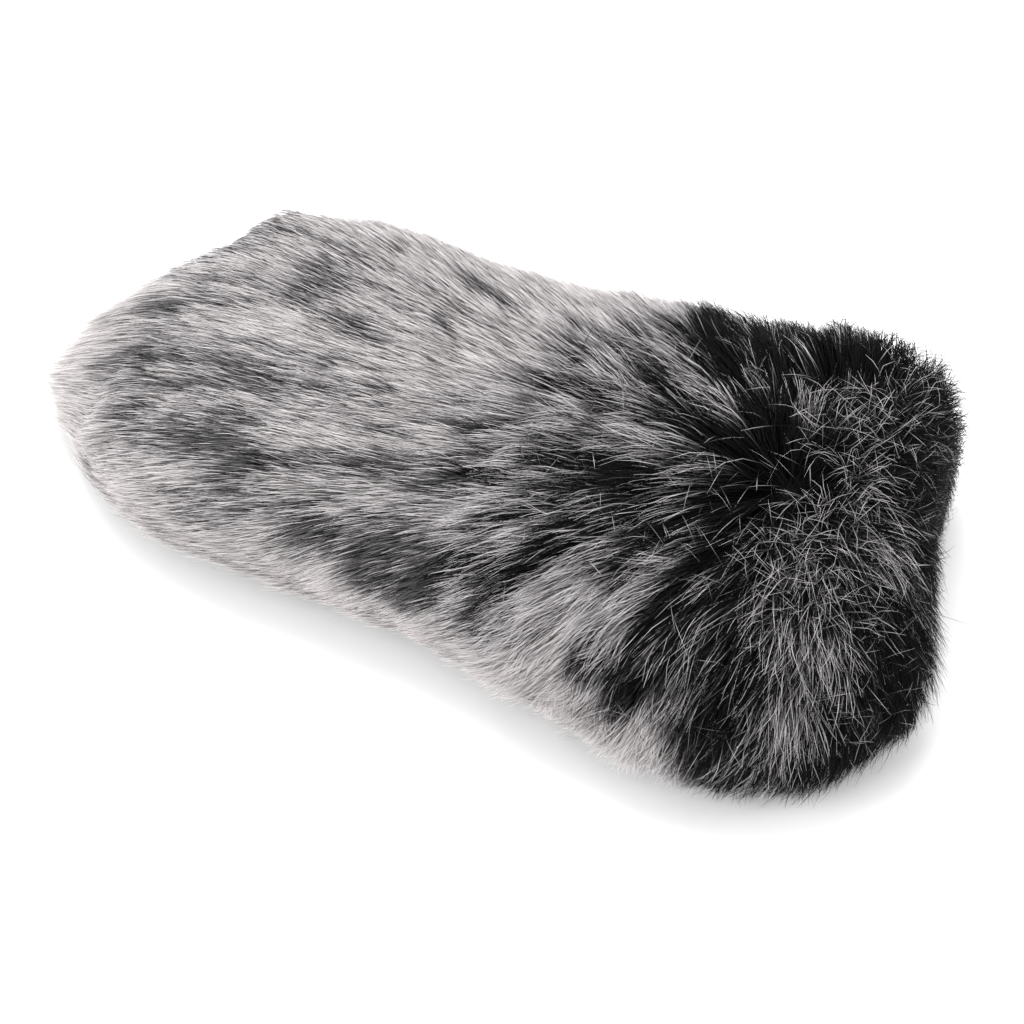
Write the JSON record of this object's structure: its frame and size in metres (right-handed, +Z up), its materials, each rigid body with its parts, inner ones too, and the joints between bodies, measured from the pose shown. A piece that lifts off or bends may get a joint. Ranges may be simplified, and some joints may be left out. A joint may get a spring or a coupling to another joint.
{
  "type": "furry windscreen",
  "caption": "Long-pile fur slip-on wind cover for a round microphone basket: closed rounded nose, gathered rear mouth with drawcord and cord lock, lying slack.",
  "frame": {"origin": "on the surface that the cover lies on, under the middle line of the tube, at the origin of the mount rest_face", "axes": "+X to the closed front nose, +Y to the cover's left side, +Z up from the surface"},
  "size_m": [0.362, 0.1906, 0.0815],
  "materials": {
    "fur_pile": "acrylic long-pile fur, black roots and pale silver-grey tips",
    "knit_backing": "dark knitted polyester backing",
    "woven_tape": "black woven binding tape",
    "sewing_thread": "grey polyester thread",
    "label_cloth": "blank woven satin label",
    "elastic_cord": "black braided elastic cord",
    "black_plastic": "fine-textured black moulding",
    "spring_steel": "drawn spring wire"
  },
  "bodies": {
    "cover": {"upper_panel_pile": "fur_pile", "lower_panel_pile": "fur_pile", "front_cap_pile": "fur_pile", "upper_panel_backing": "knit_backing", "lower_panel_backing": "knit_backing", "front_cap_backing": "knit_backing", "left_seam_tape": "woven_tape", "right_seam_tape": "woven_tape", "cap_seam_binding": "woven_tape", "hem_casing": "woven_tape", "left_seam_stitches": "sewing_thread", "right_seam_stitches": "sewing_thread", "cap_seam_stitches": "sewing_thread", "hem_stitches": "sewing_thread", "inner_label": "label_cloth", "label_stitches": "sewing_thread", "drawcord": "elastic_cord", "drawcord_eyelets": "black_plastic", "drawcord_end_stopper": "black_plastic"},
    "cord_lock": {"cord_lock_body": "black_plastic", "cord_lock_spring": "spring_steel"},
    "plunger": {"cord_lock_plunger": "black_plastic"}
  },
  "joints": [
    {"name": "cord_lock_slide", "type": "slide", "parent": "cover", "child": "cord_lock", "axis": [1, 0, 0], "range_m": [-0.004, 0.006]},
    {"name": "plunger_press", "type": "slide", "parent": "cord_lock", "child": "plunger", "axis": [0, 0, 1], "range_m": [-0.0025, 0], "stiffness_N_per_m": 300, "springref_m": 0.002, "deforming": ["cord_lock_spring"]}
  ]
}
